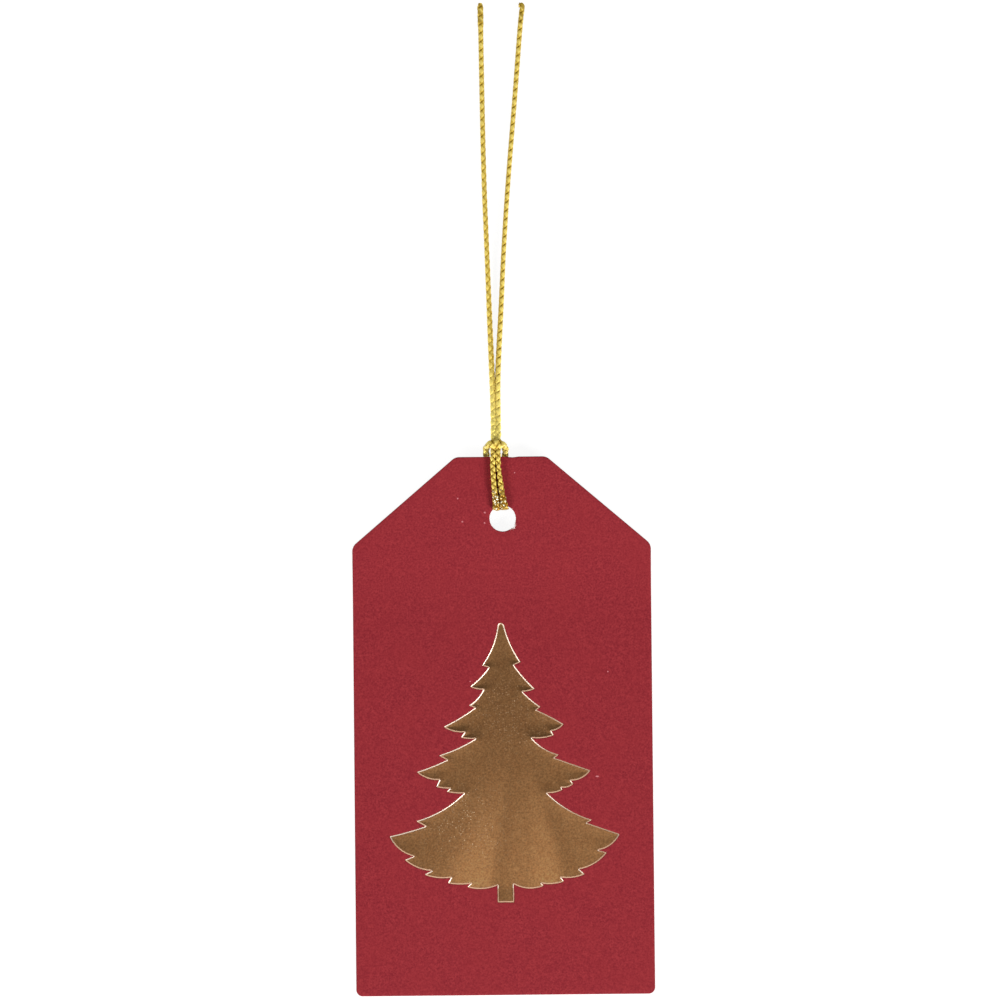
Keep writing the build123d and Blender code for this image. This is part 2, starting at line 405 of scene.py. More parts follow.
def on_face(middles):
    """Which triangles lie on the face, by their middles: outside the hole and the stamp."""
    on_card = within(top_lines[0], middles) & ~within(top_lines[1], middles)
    return on_card & ~within(stamp_line, middles)


points, faces = sheet_faces(top_lines, loose, on_face)
near = np.clip(1 - distance_to(stamp_line, points) / shoulder_width, 0, 1)
dipped = face_height(points[:, 1]) - shoulder_dip * near**2
card.add(np.column_stack([points, dipped]), faces, printed)
stamp_rim = np.column_stack([around_stamp, face_height(around_stamp[:, 1]) - shoulder_dip])
stamp_foot = np.column_stack([around_stamp, np.full(len(around_stamp), recess_floor)])
card.add_wall(stamp_rim, stamp_foot, cut)
loose = grid_points(*tree_corners, recess_grid)
loose = loose[within(stamp_line, loose) & (distance_to(stamp_line, loose) > 0.8)]
points, faces = sheet_faces([stamp_line], loose, lambda middles: within(stamp_line, middles))
card.add(np.column_stack([points, np.full(len(points), recess_floor)]), faces, cut)
for rings in (edge_rings, hole_rings):
    for i, (upper, lower) in enumerate(zip(rings, rings[1:])):
        card.add_wall(upper, lower, printed if i < 2 else cut if i < 5 else bare)
back_lines = [edge_rings[-1][:, :2], hole_rings[-1][:, :2]]
loose = grid_points(*card_corners, back_grid)
loose = loose[within(back_lines[0], loose) & ~within(back_lines[1], loose)]
loose = loose[(distance_to(edge_line, loose) > 0.7) & (distance_to(hole_line, loose) > 0.5)]
points, faces = sheet_faces(
    back_lines, loose,
    lambda middles: within(back_lines[0], middles) & ~within(back_lines[1], middles),
)
card.add(np.column_stack([points, underside(points[:, 1])]), faces[:, ::-1], bare)
tag_card = card.piece("printed_card", [printed_face(), board_core(), bare_back()])
joined_up(tag_card)
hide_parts("tag_card")
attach(tag_card, "tag")


# Fibres of the torn board, standing off the ragged part of the hole's edge.
# Each is a tuft of a few board fibres, pulled up and out by the punch.
tuft_root = 2.12  # from the hole's centre
chip_reach = 0.26  # so much further out in the chip
tufts = Shell()
for clock, reach, sweep, thick in (
    (-27, 0.22, 8, 0.08), (-32, 0.3, 6, 0.11), (-37, 0.3, -4, 0.12), (-42, 0.26, -8, 0.11),
    (-47, 0.24, -8, 0.09), (-51, 0.18, -6, 0.07), (-18, 0.14, 8, 0.06), (-9, 0.15, -8, 0.06),
    (-2, 0.12, 8, 0.05), (7, 0.1, 8, 0.04),
):
    root = tuft_root + chip_reach * np.exp(-(((clock - chip_bearing) / chip_spread) ** 2))
    rings = []
    for share in (0.0, 0.35, 0.7, 1.0):
        angle = radians(clock + sweep * share**2)
        spot = hole_centre + (root + reach * share) * np.array([cos(angle), sin(angle)])
        height = face_height(spot[1]) + 0.05 * sin(pi * share) - 0.02
        across = np.array([-sin(angle), cos(angle), 0.0]) * thick * (1 - 0.75 * share)
        up = np.array([0.0, 0.0, 0.4 * thick * (1 - 0.7 * share)])
        middle = np.array([*spot, height])
        corners = np.linspace(0, 2 * pi, 6, endpoint=False)
        rings.append([middle + across * cos(a) + up * sin(a) for a in corners])
    tufts.add_rod(np.array(rings))
hole_fibres = tufts.piece("hole_fibres", [tag_card.data.materials[cut]])
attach(hole_fibres, "tag")


# Foil: a film of gold foil, hot-stamped into the card with a fir-tree die. The die's sloped edge
# pressed it down from the face to the floor of the stamp, so its rim catches the light.
film_thickness = 0.015
film_above_face = 0.002
rim_width = 0.22
rim_drop = 0.1
rim_easing = 0.2  # share of the rim over which its slope sets in, and ends
floor_dish = 0.036  # the floor goes on sinking a little away from the rim
floor_reach = 0.9
fan_centre = (2.3, 3.5)  # painted reflection streaks in the foil's colour fan out from here to the foot of the tree
streak_middle = 0.65  # the height in their curve that leaves the foil as it is
film_grid = 0.45
bough_foot = -14.0  # from here down over foot_run, the floor by the lower edges is more level
foot_run = 6.0
upper_boughs = -5.0  # from here up over upper_run, the foil by the lower edges is painted darker, as painted shade
upper_run = 3.0
trunk_top = -27.2


def arithmetic(tree, operation, *values):
    """Values put together."""
    return node(tree, "ShaderNodeMath", dict(enumerate(values)), operation=operation).outputs[0]


def bent(tree, value, points):
    """A value from 0 to 1 sent through a smooth curve of (place, height) points."""
    made = node(tree, "ShaderNodeFloatCurve", {"Value": value})
    curve = made.mapping.curves[0]
    curve.points[0].location = points[0]
    curve.points[-1].location = points[-1]
    for place, height in points[1:-1]:
        curve.points.new(place, height)
    made.mapping.update()
    return made.outputs["Value"]


def gold_foil():
    """Rose-gold foil: a soft mirror with the board's grain in it, painted reflection streaks, painted
    shade and highlight, and bright specks with painted glints.
    """
    finish, tree, shader = new_finish("gold_foil")
    where = node(tree, "ShaderNodeTexCoord").outputs["Object"]
    blotches = noise(tree, where, 1.4, 3.0)
    tone = mixed(tree, ramp(tree, blotches, 0.3, 0.7), ink(240, 171, 110), ink(250, 184, 121))
    fan = (fan_centre[0] * mm, fan_centre[1] * mm, 0.0)
    from_fan = node(tree, "ShaderNodeVectorMath", {0: where, 1: fan}, operation="SUBTRACT")
    parts = node(tree, "ShaderNodeSeparateXYZ", {0: from_fan.outputs[0]})
    down = arithmetic(tree, "MULTIPLY", parts.outputs["Y"], -1.0)
    angle = arithmetic(tree, "ARCTAN2", parts.outputs["X"], down)
    # Painted reflection: streaks in the foil's colour, lighter and darker, stronger towards the foot
    # of the tree.
    streak_reflection = bent(tree, ramp(tree, angle, radians(-50), radians(50)), (
        (0.0, 0.46), (0.15, 0.53), (0.24, 0.6), (0.29, 0.75), (0.32, 0.84), (0.365, 0.87),
        (0.395, 0.84), (0.42, 0.69), (0.45, 0.62), (0.48, 0.69), (0.535, 0.73), (0.595, 0.88),
        (0.622, 0.85), (0.648, 0.7), (0.68, 0.6), (0.73, 0.65), (0.85, 0.62), (1.0, 0.54),
    ))
    streak_reflection = arithmetic(tree, "DIVIDE", streak_reflection, streak_middle)
    streak_reflection = arithmetic(tree, "SUBTRACT", streak_reflection, 1.0)
    strength = ramp(tree, down, 9 * mm, 29 * mm, 0.0, 1.15)
    shade = arithmetic(tree, "MULTIPLY_ADD", streak_reflection, strength, 1.0)
    depth_and_painted_shade = node(tree, "ShaderNodeAttribute", attribute_name="depth_and_painted_shade").outputs["Fac"]
    # Painted shade and highlight in the foil's colour: darker on the trunk, lighter at the tip, darker
    # by the lower edges of the upper boughs.
    for part in (
        ramp(tree, down, 30.2 * mm, 31.2 * mm, 1.0, 0.75),  # the trunk
        ramp(tree, down, -6.5 * mm, -9.5 * mm, 1.0, 1.25),  # the tip
        ramp(tree, depth_and_painted_shade, 0.0, 1.0, 1.0, 0.4),
    ):
        shade = arithmetic(tree, "MULTIPLY", shade, part)
    lit = node(tree, "ShaderNodeCombineColor", {0: shade, 1: shade, 2: shade}).outputs["Color"]
    tone = mixed(tree, 1.0, tone, lit, "MULTIPLY")
    grain = noise(tree, where, 3.4, 3.0, 0.65)
    tone = mixed(tree, ramp(tree, grain, 0.3, 0.7), mixed(tree, 0.5, tone, ink(60, 30, 10)), tone)
    spots = node(tree, "ShaderNodeTexVoronoi", {"Vector": where, "Scale": 3.6 / mm})
    picked = node(tree, "ShaderNodeSeparateColor", {0: spots.outputs["Color"]}).outputs[0]
    patches = noise(tree, where, 0.5, 2.0)
    glitter = 0.0
    # Where the specks lie thickest: (place, reach, strength).
    for spot, reach, most in (((0.8, 2.0), 8.0, 0.6), ((-6.5, -16.5), 9.5, 0.85)):
        spot = (spot[0] * mm, spot[1] * mm, 0.0)
        apart = node(tree, "ShaderNodeVectorMath", {0: where, 1: spot}, operation="DISTANCE")
        thickly = ramp(tree, apart.outputs["Value"], reach * mm, 2 * mm, 0.15, most)
        glitter = arithmetic(tree, "MAXIMUM", thickly, glitter)
    # Specks: rougher, less metallic spots in the foil, with painted glints, their colour lightened to
    # near white.
    speck = ramp(tree, spots.outputs["Distance"], 0.42, 0.14)
    speck = arithmetic(tree, "MULTIPLY", speck, ramp(tree, picked, 0.35, 0.9))
    speck = arithmetic(tree, "MULTIPLY", speck, ramp(tree, patches, 0.3, 0.55, 0.3, 1.0))
    speck = arithmetic(tree, "MULTIPLY", speck, glitter)
    tone = mixed(tree, speck, tone, ink(255, 224, 184))
    rim, pale, lower = (
        node(tree, "ShaderNodeAttribute", attribute_name=attribute).outputs["Fac"]
        for attribute in ("rim", "pale", "lower")
    )
    # Painted light and shade on the rim: pale where it faces the lamps, dark brown where it does not
    # and along the trunk, pink by the lower edges.
    rim_light_and_shade = mixed(tree, pale, ink(150, 108, 78), ink(205, 190, 175))
    tone = mixed(tree, rim, tone, mixed(tree, lower, rim_light_and_shade, ink(255, 206, 170)))
    tree.links.new(tone, shader.inputs["Base Color"])
    dull = arithmetic(tree, "MAXIMUM", arithmetic(tree, "MULTIPLY", speck, 0.95), rim)
    tree.links.new(ramp(tree, dull, 0.0, 1.0, 0.15, 0.4), shader.inputs["Roughness"])
    tree.links.new(ramp(tree, dull, 0.0, 1.0, 1.0, 0.25), shader.inputs["Metallic"])
    bump = node(tree, "ShaderNodeBump", {"Height": grain, "Strength": 0.3, "Distance": 0.004 * mm})
    tree.links.new(bump.outputs["Normal"], shader.inputs["Normal"])
    return finish


def on_rim(inward):
    """How far the film is on its sloped rim, from 0 to 1, at a distance in from the tree's edge."""
    share = inward / rim_width
    return np.clip(np.minimum(share, 1 - share) / rim_easing, 0, 1)


def film_slope(inward):
    """How steeply the film falls, at a distance in from the tree's edge."""
    rim = rim_drop / rim_width / (1 - rim_easing) * on_rim(inward)
    return rim + floor_dish / floor_reach * np.exp(-inward / floor_reach)


def film_height(points, inward):
    """Height of the film's upper side."""
    steps = np.linspace(0, 20, 8001)
    depth_and_painted_shade = np.cumsum(film_slope(steps)) * steps[1]
    return face_height(points[:, 1]) + film_above_face - np.interp(inward, steps, depth_and_painted_shade - depth_and_painted_shade[0])


loose = grid_points(*tree_corners, film_grid)
loose = loose[within(stamp_line, loose)]
loose = loose[distance_to(stamp_line, loose) > 1.25]
for reach, step in (
    (0.05, 0.14), (0.1, 0.14), (0.15, 0.14), (0.2, 0.14), (0.27, 0.14), (0.34, 0.16), (0.4, 0.2),
    (0.55, 0.25), (0.75, 0.3), (1.0, 0.4),
):
    loose = np.concatenate([loose, ring_points(stamp_line, reach, step)])
points, faces = sheet_faces([stamp_line], loose, lambda middles: within(stamp_line, middles))
film_top = film_height(points, distance_to(stamp_line, points))
foil = Shell()
foil.add(np.column_stack([points, film_top]), faces)
foil.add(np.column_stack([points, film_top - film_thickness]), faces[:, ::-1])
rim = np.column_stack([stamp_line, face_height(stamp_line[:, 1]) + film_above_face])
foil.add_wall(rim, rim - (0, 0, film_thickness))
foil_tree = foil.piece("foil_tree_stamp", [gold_foil()])
joined_up(foil_tree)
spots = np.array([v.co for v in foil_tree.data.vertices]) / mm
away = away_from(stamp_line, spots[:, :2])
inward = np.linalg.norm(away, axis=1)
on_top = np.abs(spots[:, 2] - film_height(spots, inward)) < film_thickness / 4
inwards = away / np.maximum(inward, 1e-6)[:, None]
at_lower_edge = np.clip(inwards[:, 1], 0, 1)
rim = on_rim(inward)
at_foot = np.clip((bough_foot - spots[:, 1]) / foot_run, 0, 1)
steepness = film_slope(inward) * (1 - at_lower_edge * (0.75 * rim + 0.8 * (1 - rim) * at_foot))
normals = np.column_stack([inwards * steepness[:, None], np.ones(len(spots))])
normals /= np.linalg.norm(normals, axis=1)[:, None]
foil_tree.data.normals_split_custom_set_from_vertices((normals * on_top[:, None]).tolist())
# On its rim the film is rougher and less metallic, with painted highlight: painted pale where the rim
# faces the lamps, least where the rim runs level on the right, painted dark along the trunk and pink
# by the lower edges. By the lower edges of the upper boughs the foil is painted darker: painted shade.
bearing = np.degrees(np.arctan2(inwards[:, 1], inwards[:, 0]))
pale = np.interp(
    bearing, (0, 150, 205, 232, 242, 268, 280, 295), (0.95, 0.85, 0.95, 0.85, 0.3, 0.25, 0.9, 1.0),
    period=360,
)
pale *= np.where(spots[:, 1] < trunk_top, 0.12, 1.0)
in_upper = np.clip((spots[:, 1] - upper_boughs) / upper_run, 0, 1)
# Painted shade: by the lower edges of the upper boughs the foil is painted darker.
depth_and_painted_shade = at_lower_edge * np.exp(-inward / floor_reach) * in_upper
lower = np.clip((at_lower_edge - 0.4) / 0.3, 0, 1)
for name, values in (("rim", rim), ("pale", pale), ("lower", lower), ("depth_and_painted_shade", depth_and_painted_shade)):
    foil_tree.data.attributes.new(name, "FLOAT", "POINT").data.foreach_set("value", values)
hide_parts("foil_tree")
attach(foil_tree, "tag")


# Cord: one length of thin gold cord, braided from four strands of metallic yarn and about 200 mm
# long. It is doubled, hitched through the hole and over both strands, and its cut ends lie loose.
left_end = (
    (-2.7, 121.2, 0.46), (-2.57, 106.0, 0.46), (-2.37, 91.0, 0.46), (-1.98, 79.5, 0.46),
    (-1.69, 70.0, 0.46), (-1.42, 61.5, 0.46), (-1.23, 56.2, 0.6), (-1.1, 52.6, 1.1),
    (-1.07, 49.7, 1.76),
)
hitch = (
    (-1.1, 47.334, 2.22), (-1.27, 45.25, 2.6), (-1.34, 43.2, 2.4), (-1.22, 40.8, 2.23),
    (-1.0, 38.7, 2.08), (-0.84, 37.3, 1.96), (-0.8, 36.22, 1.86), (-0.8, 36.22, 0.55),
    (-0.88, 37.3, 0.6), (-1.06, 38.7, 0.7), (-1.5, 40.8, 0.84), (-2.05, 43.3, 0.98),
    (-2.36, 45.1, 1.1), (-2.48, 46.2, 1.6), (-2.2, 46.9, 2.55), (-1.5, 47.08, 2.88),
    (-0.1, 47.08, 2.88), (0.6, 46.9, 2.55), (0.84, 46.2, 1.6), (0.72, 45.1, 1.1),
    (0.58, 43.3, 0.98), (0.5, 40.8, 0.84), (0.5, 38.7, 0.7), (0.48, 37.5, 0.62),
    (0.52, 36.3, 0.55), (0.52, 36.3, 1.87), (0.42, 37.5, 1.98), (0.17, 38.7, 2.08),
    (-0.08, 40.8, 2.23), (-0.4, 43.2, 2.4), (-0.42, 45.25, 2.6), (-0.46, 47.334, 2.22),
)
right_end = (
    (-0.45, 49.7, 1.76), (-0.42, 52.6, 1.1), (-0.42, 56.2, 0.6), (-0.23, 61.5, 0.46),
    (0.32, 70.0, 0.46), (0.8, 79.5, 0.46), (1.64, 91.0, 0.46), (3.02, 106.0, 0.46),
    (4.1, 119.2, 0.46), (4.5, 120.95, 0.46), (3.76, 120.85, 0.5),
)
seam_at = 50.3  # the neck is one piece with the hitch up to here, and with the ends past it
ring_step = 0.1
end_turn = 2.9  # along the cord, for one turn of a strand
hitch_turn = 2.35
strand_sides = 20
strand_middle = (0.305, 0.3)  # from the cord's middle: in its loose ends, and in the hitch
strand_sway = (0.03, 0.07)
strand_lead = (0.7, 0.0)  # two of the strands lie over the other two by this share of the sway
strand_half_thick = 0.095
strand_half_wide = 1.34  # radians round the cord, so that two strands nearly close the way round
strand_easing = 0.2
core_radius = 0.3
# Where the cord is pressed flat or bulges, as (place, across, through): even changes between them.
squeezed = (
    ((-2.7, 121.2, 0.46), 0.8, 0.9), ((-2.7, 120.5, 0.46), 1.26, 1.0),
    ((-2.68, 118.0, 0.46), 1.3, 1.0), ((-2.65, 116.6, 0.46), 1.1, 1.0),
    ((-2.57, 106.0, 0.46), 1.08, 1.0), ((-1.98, 79.5, 0.46), 1.0, 1.0),
    ((-1.27, 56.2, 0.6), 1.2, 1.0), ((-1.1, 52.6, 1.1), 1.28, 1.0), ((-1.08, 48.4, 2.0), 1.3, 1.0),
    ((-1.24, 45.25, 2.6), 1.05, 0.95), ((-1.22, 40.8, 2.23), 0.95, 0.92),
    ((-0.98, 38.7, 2.08), 1.14, 0.85), ((-0.84, 37.3, 1.96), 1.36, 0.7),
    ((-0.8, 36.22, 1.2), 1.55, 0.58), ((-1.06, 38.7, 0.7), 1.2, 0.88),
    ((-2.36, 45.1, 1.1), 1.25, 1.0), ((-2.2, 46.9, 2.55), 1.3, 0.95),
    ((-1.5, 47.08, 2.88), 1.7, 0.66), ((-0.1, 47.08, 2.88), 1.7, 0.66),
    ((0.6, 46.9, 2.55), 1.3, 0.95), ((0.72, 45.1, 1.1), 1.25, 1.0), ((0.5, 38.7, 0.7), 1.2, 0.88),
    ((0.52, 36.3, 1.2), 1.85, 0.56), ((0.4, 37.5, 1.98), 1.36, 0.7),
    ((0.17, 38.7, 2.08), 1.08, 0.85), ((-0.08, 40.8, 2.23), 0.95, 0.92),
    ((-0.4, 43.2, 2.4), 0.88, 0.92), ((-0.42, 45.25, 2.6), 1.0, 0.95),
    ((-0.46, 48.4, 2.0), 1.3, 1.0), ((-0.42, 52.6, 1.1), 1.28, 1.0), ((-0.38, 56.2, 0.6), 1.2, 1.0),
    ((0.8, 79.5, 0.46), 1.0, 1.0), ((3.02, 106.0, 0.46), 1.06, 1.0), ((4.1, 119.2, 0.46), 1.1, 1.0),
)
seam_before = 60  # rows before a seam and past it, over which the braid tightens
seam_past = 40
leaning_length = 1.5  # from a cut, over which its strands lean away from each other
undone_length = 3.9  # from a cut, where the braid has come undone
undone_easing = 0.5
gap_easing = 0.35
seam_shade_side = -1.3  # radians round the cord from its upper side
seam_shade_width = 0.24


def cord_line(points):
    """Evenly spaced points read along the cord's smooth line, and the way travelled to each."""
    curve = bpy.data.curves.new("cord_line", "CURVE")
    curve.dimensions = "3D"
    curve.resolution_u = 64
    spline = curve.splines.new("NURBS")
    spline.points.add(len(points) - 1)
    for spot, point in zip(spline.points, points):
        spot.co = (*point, 1.0)
    spline.order_u = 3
    spline.use_endpoint_u = True
    holder = bpy.data.objects.new("cord_line", curve)
    mesh = bpy.data.meshes.new_from_object(holder)
    line = np.array([v.co for v in mesh.vertices])
    bpy.data.objects.remove(holder)
    bpy.data.curves.remove(curve)
    bpy.data.meshes.remove(mesh)
    way = np.concatenate([[0], np.cumsum(np.linalg.norm(np.diff(line, axis=0), axis=1))])
    even = np.linspace(0, way[-1], round(way[-1] / ring_step))
    return np.column_stack([np.interp(even, way, line[:, i]) for i in range(3)]), even


cord_points, travel = cord_line(left_end + hitch + right_end)
last_row = len(travel) - 1
ahead = np.gradient(cord_points, axis=0)
ahead /= np.linalg.norm(ahead, axis=1)[:, None]
outward = np.zeros_like(ahead)
side = np.array([0.0, 0.0, 1.0])
for i, along in enumerate(ahead):
    side = side - (side @ along) * along
    side /= np.linalg.norm(side)
    outward[i] = side
sideways = np.cross(ahead, outward)


def row_at(place):
    """The row of the cord nearest a place."""
    return int(np.argmin(np.linalg.norm(cord_points - place, axis=1)))


def along_cord(places, heights):
    """Heights given at some places, changing evenly between them along the whole cord."""
    return np.interp(np.arange(last_row + 1), [row_at(place) for place in places], heights)


places, across, through = zip(*squeezed)
across = along_cord(places, across)
through = along_cord(places, through)
flat_way = np.tile([1.0, 0.0, 0.0], (last_row + 1, 1))
flat_way[np.abs(ahead[:, 0]) > 0.55] = (0.0, 1.0, 0.0)
flat_way -= (flat_way * ahead).sum(axis=1)[:, None] * ahead
flat_way /= np.linalg.norm(flat_way, axis=1)[:, None]

past_seam = cord_points[:, 1] > seam_at
left_seam = int(np.argmin(past_seam))
right_seam = last_row - int(np.argmin(past_seam[::-1]))
in_hitch = np.interp(
    np.arange(last_row + 1),
    [left_seam - seam_before, left_seam + seam_past, right_seam - seam_past, right_seam + seam_before],
    [0, 1, 1, 0],
)
turn_length = end_turn + (hitch_turn - end_turn) * in_hitch
phase = 2 * pi * np.cumsum(np.gradient(travel) / turn_length)

# Which side of the braid is uppermost: 0 shows one column of strands, a quarter of pi shows two.
rolls = (
    ((-2.7, 121.2, 0.46), 0.0), ((-2.57, 108.0, 0.46), 0.1), ((-2.3, 90.0, 0.46), 0.7),
    ((-1.4, 60.0, 0.5), 0.75), ((-1.24, 45.25, 2.6), 0.785), ((-1.06, 39.7, 2.15), 0.785),
    ((0.05, 39.7, 2.15), -1.2), ((-0.4, 44.0, 2.5), -1.57), ((-0.36, 47.3, 2.2), -1.2),
    ((-0.35, 52.6, 1.1), 0.5), ((0.8, 79.5, 0.46), 0.3), ((3.02, 106.0, 0.46), 0.0),
    ((4.1, 119.2, 0.46), 0.0),
)
roll_rows = [row_at(place) for place, _ in rolls]
roll_angles = [
    atan2(sideways[i][2], outward[i][2]) + turned for i, (_, turned) in zip(roll_rows, rolls)
]
roll = np.interp(np.arange(last_row + 1), roll_rows, np.unwrap(roll_angles, period=pi))


# Where the cord is pressed flat it is painted darker, with painted glints: at both turns in the hole,
# and less at both ears. The ears are also painted lighter, against the shade of the card's edge.
pressed = np.zeros(last_row + 1)
ear_painted_light = np.zeros(last_row + 1)
for place, reach, flat, bright in (
    ((-0.8, 36.22, 1.2), 4.2, 1.0, 0.0), ((0.46, 36.3, 1.2), 4.2, 1.0, 0.0),
    ((-2.48, 46.2, 1.6), 1.9, 0.4, 1.4), ((0.84, 46.2, 1.6), 1.9, 0.4, 1.4),
):
    near = np.clip((reach - np.abs(travel - travel[row_at(place)])) / (0.38 * reach), 0, 1)
    pressed = np.maximum(pressed, flat * near)
    ear_painted_light = np.maximum(ear_painted_light, bright * near)


def gold_yarn(name, gap_shade_tone, metallic, roughness, shine):
    """Metallic yarn: filaments of yellow gold, with painted shade and highlight, and painted glints
    where pressed flat.
    """
    finish, tree, shader = new_finish(name)
    spread = node(tree, "ShaderNodeUVMap", uv_map="yarn").outputs["UV"]
    where = node(tree, "ShaderNodeTexCoord").outputs["Object"]
    gap_shade, over, pressed = (
        node(tree, "ShaderNodeAttribute", attribute_name=attribute).outputs["Fac"]
        for attribute in ("gap_shade", "over", "pressed")
    )
    stretched = node(tree, "ShaderNodeMapping", {"Vector": spread, "Scale": (1.1, 9.0, 1.0)})
    sockets = {"Vector": stretched.outputs["Vector"], "Scale": 2.2}
    filaments = node(tree, "ShaderNodeTexNoise", sockets).outputs["Fac"]
    # Painted highlight: strands that lie over others are painted lighter, and the painted light of the
    # neck and ears takes them lighter still.
    tone = mixed(tree, ramp(tree, over, 0.08, 0.6), ink(206, 173, 58), ink(250, 226, 122))
    tone = mixed(tree, ramp(tree, over, 0.95, 1.6, 0.0, 0.8), tone, ink(255, 240, 134))
    tone = mixed(tree, ramp(tree, filaments, 0.4, 0.65, 0.0, 0.35), tone, ink(220, 184, 64))
    # Painted shade in the gaps, on the flanks, along one seam and under the band, and darker patches
    # at the cut ends.
    tone = mixed(tree, gap_shade, tone, gap_shade_tone)
    # Where pressed flat the yarn is painted darker, with painted glints: near-white spots.
    tone = mixed(tree, arithmetic(tree, "MULTIPLY", pressed, 0.75), tone, ink(128, 80, 0))
    glints = node(tree, "ShaderNodeTexVoronoi", {"Vector": where, "Scale": 1.8 / mm})
    glint = ramp(tree, glints.outputs["Distance"], 0.36, 0.22)
    tone = mixed(tree, arithmetic(tree, "MULTIPLY", glint, pressed), tone, ink(255, 250, 214))
    tree.links.new(tone, shader.inputs["Base Color"])
    tree.links.new(ramp(tree, pressed, 0.0, 1.0, roughness, 0.22), shader.inputs["Roughness"])
    lay = node(tree, "ShaderNodeBump", {
        "Height": filaments, "Strength": 0.35, "Distance": 0.02 * mm,
    })
    facets = node(tree, "ShaderNodeBump", {
        "Height": noise(tree, where, 3.0, 1.0), "Strength": pressed, "Distance": 0.12 * mm,
        "Normal": lay.outputs["Normal"],
    })
    tree.links.new(facets.outputs["Normal"], shader.inputs["Normal"])
    shader.inputs["Metallic"].default_value = metallic
    shader.inputs["Specular IOR Level"].default_value = shine
    return finish


def core_yarn():
    """The yarn inside the braid, seen only in the gaps between the strands, coloured darker as painted
    shade.
    """
    finish, tree, shader = new_finish("core_yarn")
    where = node(tree, "ShaderNodeTexCoord").outputs["Object"]
    mottle = ramp(tree, noise(tree, where, 5.0), 0.3, 0.7)
    tone = mixed(tree, mottle, ink(150, 116, 22), ink(180, 146, 44))
    tree.links.new(tone, shader.inputs["Base Color"])
    shader.inputs["Roughness"].default_value = 0.6
    shader.inputs["Metallic"].default_value = 0.2
    return finish


core = core_yarn()
taut_finishes = [gold_yarn("taut_gold_yarn", ink(104, 62, 0), 0.25, 0.34, 0.08), core]
loose_finishes = [gold_yarn("loose_gold_yarn", ink(142, 108, 4), 0.18, 0.42, 0.2), core]
strand_ways = ((1, 0.0), (1, pi), (-1, 0.0), (-1, pi))  # (which way round, from where)
around = np.linspace(0, 2 * pi, strand_sides, endpoint=False)
section_wide = np.sign(np.cos(around)) * np.abs(np.cos(around)) ** 0.75
section_thick = np.sign(np.sin(around)) * np.abs(np.sin(around)) ** 0.75


# How tight the strands lie, how strong the painted shade in their gaps is and the painted shade under
# the band, along the cord: in its ends they lie loose, and only one way of the gaps shows; in the
# hitch both ways show.
under_band = ((-1.23, 47.0, 2.25), (-1.25, 46.2, 2.45), (-1.26, 45.5, 2.55))
under_band += tuple((-0.35, y, z) for _, y, z in under_band[::-1])
shade_under_band = along_cord(under_band, (0.0, 0.45, 0.0, 0.0, 0.45, 0.0))
legs = ((-1.1, 47.9, 2.1), (-1.2, 46.2, 2.4), (-0.43, 46.2, 2.4), (-0.46, 47.9, 2.1))
from_end = np.minimum(travel, travel[-1] - travel)
undone = np.clip((undone_length - from_end) / undone_easing, 0, 1)
tight = np.maximum(along_cord(legs, (0.0, 1.0, 1.0, 0.0)), undone)
gap_shade_strength = along_cord(
    ((-2.57, 106.0, 0.46), (-2.37, 91.0, 0.46), *legs[:2], (-2.36, 45.1, 1.1), (-1.5, 47.08, 2.88),
     (-0.1, 47.08, 2.88), (0.72, 45.1, 1.1), *legs[2:], (-0.23, 61.5, 0.46), (1.64, 91.0, 0.46)),
    (0.9, 0.65, 0.25, 1.0, 0.6, 0.85, 0.85, 0.6, 1.0, 0.25, 0.9, 1.0),
)
# Painted light: the neck is painted lighter, against the shade of the band above it.
neck_painted_light = along_cord(
    ((-1.42, 61.5, 0.46), (-1.18, 52.6, 1.1), *legs, (-0.33, 52.6, 1.1), (-0.23, 61.5, 0.46)),
    (0.0, 0.9, 1.4, 0.0, 0.0, 1.4, 0.9, 0.0),
)
# Along the lower part of the left end a dark line of painted shade runs along one seam between the
# strands, on its right.
painted_seam_shade = along_cord(
    ((-1.85, 76.0, 0.46), (-1.65, 69.0, 0.46), (-1.3, 57.5, 0.5), (-1.2, 54.0, 0.9)),
    (0.0, 0.85, 0.85, 0.0),
)


